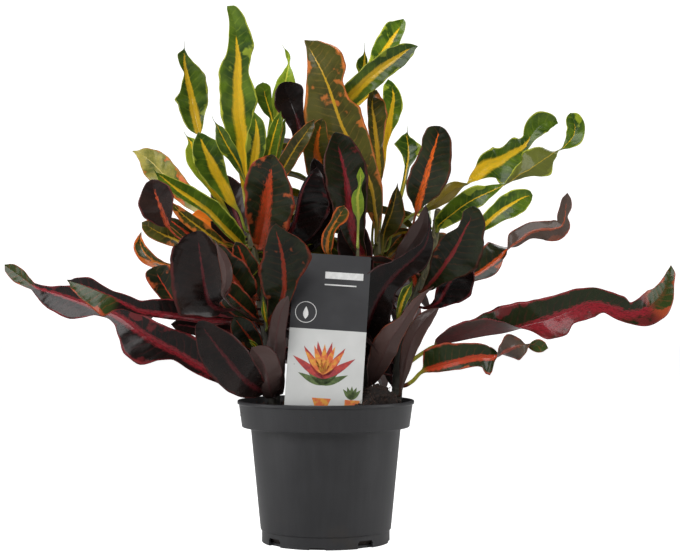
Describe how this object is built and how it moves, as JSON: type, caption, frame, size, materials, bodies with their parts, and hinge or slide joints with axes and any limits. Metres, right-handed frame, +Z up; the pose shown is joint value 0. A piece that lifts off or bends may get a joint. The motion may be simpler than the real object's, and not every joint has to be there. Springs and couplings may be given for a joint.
{
  "type": "potted croton",
  "caption": "Leafy croton plant with long twisted leaves on leaning stems, growing in a tapered nursery pot with a plain plant label.",
  "frame": {"origin": "centre of the pot's flat underside, on the floor", "axes": "+Z up, +X to the right seen from in front of the label, +Y away from that viewer"},
  "size_m": [0.6465, 0.3096, 0.5291],
  "materials": {
    "pot_plastic": "dark grey moulded plastic, slightly glossy",
    "peat": "stands in for dark, fibrous potting peat",
    "label_card": "smooth printed plastic sheet",
    "bark": "green-brown young bark with leaf scars",
    "leaf_lime": "glossy leaf, green with a yellow midrib",
    "leaf_olive": "satin leaf, olive with orange veins",
    "leaf_speckled": "satin leaf, yellow-green with orange speckles",
    "leaf_orange": "satin leaf, orange with green patches",
    "leaf_red_green": "glossy leaf, dark green with a red midrib",
    "leaf_red_black": "glossy leaf, near black with red veins",
    "leaf_maroon": "glossy leaf, dark maroon",
    "leaf_purple": "dull purple-brown leaf underside",
    "leaf_young": "bright green young leaf"
  },
  "bodies": {
    "root": {"pot": "pot_plastic", "soil": "peat", "label": "label_card", "left_stem": "bark", "middle_stem": "bark", "right_stem": "bark", "back_stem": "bark", "young_shoot": "bark", "left_leaf_01": "leaf_lime", "left_leaf_02": "leaf_lime", "left_leaf_03": "leaf_lime", "left_leaf_04": "leaf_lime", "left_leaf_05": "leaf_lime", "left_leaf_06": "leaf_young", "left_leaf_07": "leaf_maroon", "left_leaf_08": "leaf_lime", "left_leaf_09": "leaf_speckled", "left_leaf_10": "leaf_maroon", "left_leaf_11": "leaf_red_green", "left_leaf_12": "leaf_red_black", "left_leaf_13": "leaf_olive", "left_leaf_14": "leaf_maroon", "left_leaf_15": "leaf_olive", "left_leaf_16": "leaf_orange", "left_leaf_17": "leaf_red_green", "left_leaf_18": "leaf_maroon", "left_leaf_19": "leaf_red_green", "left_leaf_20": "leaf_red_green", "left_leaf_21": "leaf_red_black", "left_leaf_22": "leaf_red_black", "left_leaf_23": "leaf_maroon", "left_leaf_24": "leaf_maroon", "middle_leaf_01": "leaf_olive", "middle_leaf_02": "leaf_lime", "middle_leaf_03": "leaf_olive", "middle_leaf_04": "leaf_lime", "middle_leaf_05": "leaf_red_black", "middle_leaf_06": "leaf_red_green", "middle_leaf_07": "leaf_lime", "middle_leaf_08": "leaf_maroon", "middle_leaf_09": "leaf_purple", "middle_leaf_10": "leaf_olive", "right_leaf_01": "leaf_lime", "right_leaf_02": "leaf_lime", "right_leaf_03": "leaf_red_green", "right_leaf_04": "leaf_red_green", "right_leaf_05": "leaf_red_black", "right_leaf_06": "leaf_purple", "right_leaf_07": "leaf_red_black", "right_leaf_08": "leaf_red_green", "back_leaf_01": "leaf_lime", "back_leaf_02": "leaf_lime", "young_leaf": "leaf_young", "back_leaf_03": "leaf_red_green", "back_leaf_04": "leaf_lime", "back_leaf_05": "leaf_maroon", "back_leaf_06": "leaf_red_black", "back_leaf_07": "leaf_red_green", "back_leaf_08": "leaf_olive", "back_leaf_09": "leaf_red_green"}
  },
  "joints": []
}
